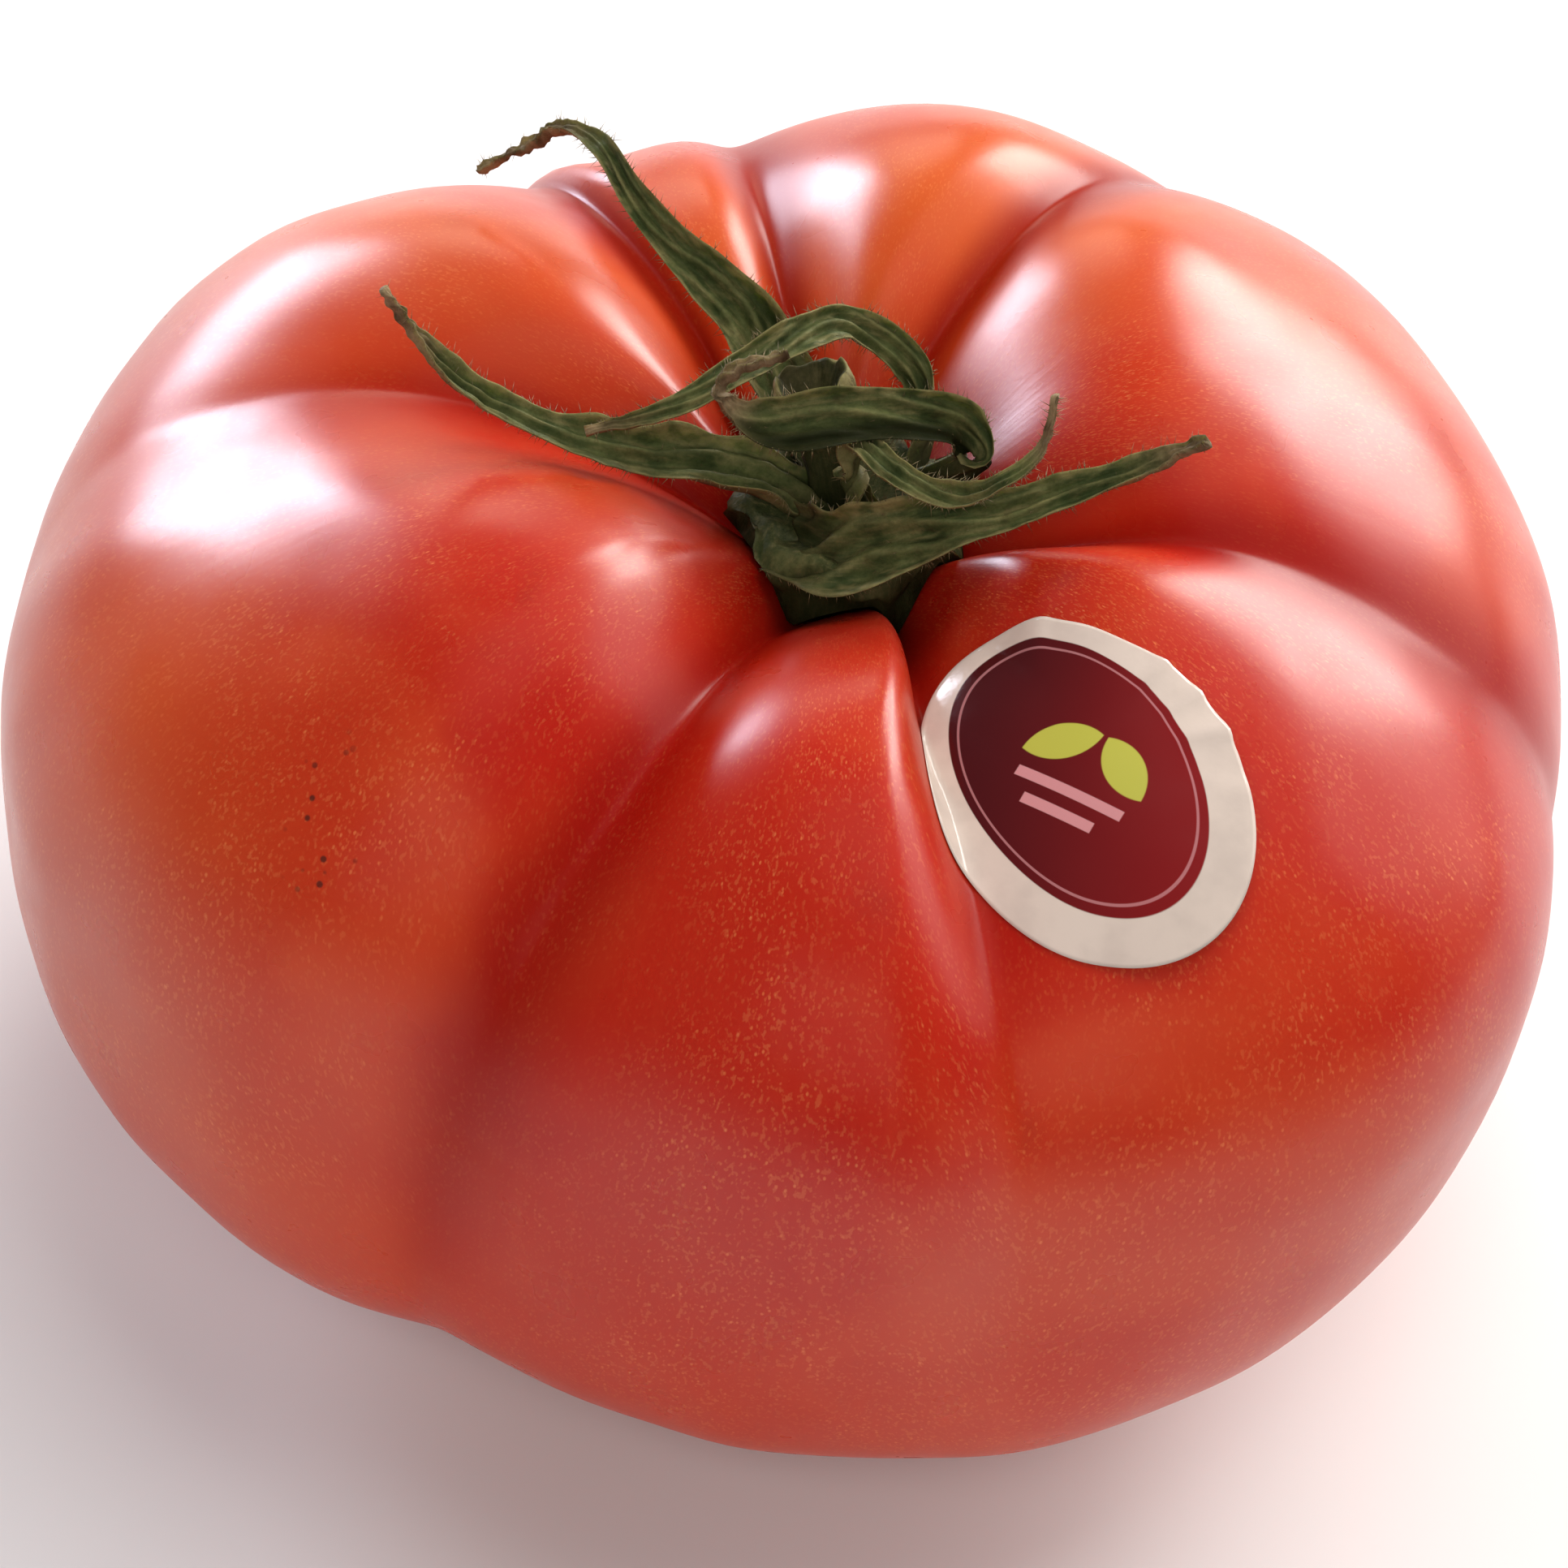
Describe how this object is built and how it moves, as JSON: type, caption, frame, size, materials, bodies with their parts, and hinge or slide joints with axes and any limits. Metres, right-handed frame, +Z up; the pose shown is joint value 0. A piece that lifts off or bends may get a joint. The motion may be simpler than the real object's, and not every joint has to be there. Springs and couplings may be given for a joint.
{
  "type": "ribbed pink tomato with dried calyx and plain sticker",
  "caption": "Large ribbed heirloom tomato with a deep stem cavity, a dried curling green calyx and a plain oval sticker; rests on a small flat spot.",
  "frame": {"origin": "middle of the flat spot that the fruit rests on, below the stem cavity", "axes": "+Z up through the stem cavity; -Y towards the picture's camera; +X to the picture's right"},
  "size_m": [0.1001, 0.098, 0.0692],
  "materials": {
    "skin": "waxy satin tomato skin, red to pinkish red with fine golden speckles",
    "sepal": "dry dull olive green leaf with brown tips",
    "sticker": "maroon oval with a cream rim, slightly glossy, unprinted"
  },
  "bodies": {
    "root": {"fruit": "skin", "calyx": "sepal", "label": "sticker"}
  },
  "joints": []
}
